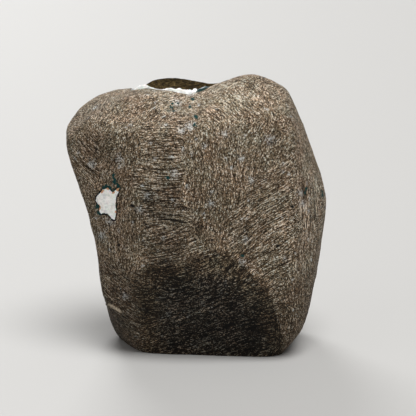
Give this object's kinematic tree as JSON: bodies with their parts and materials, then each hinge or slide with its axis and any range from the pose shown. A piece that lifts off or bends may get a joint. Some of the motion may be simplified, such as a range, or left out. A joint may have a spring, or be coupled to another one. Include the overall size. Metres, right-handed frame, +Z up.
{
  "type": "quartz geode",
  "caption": "Natural quartz geode: a disc-ground basalt block that stands on a flat base, with a crystal-lined hollow open at the top and the far side.",
  "frame": {"origin": "on the flat base, under the heart of the block", "axes": "+Z up; -Y out of the closed, scored back; +Y out of the open side with the crystals"},
  "size_m": [0.1497, 0.1077, 0.158],
  "materials": {
    "ground_basalt": "scored by a grinding disc, matt",
    "quartz_crystals": "clear glossy crystal faces over white chalcedony",
    "white_chalcedony": "smooth, waxy"
  },
  "bodies": {
    "root": {"basalt_matrix": "ground_basalt", "quartz_crust": "quartz_crystals", "chalcedony_patch": "white_chalcedony"}
  },
  "joints": []
}
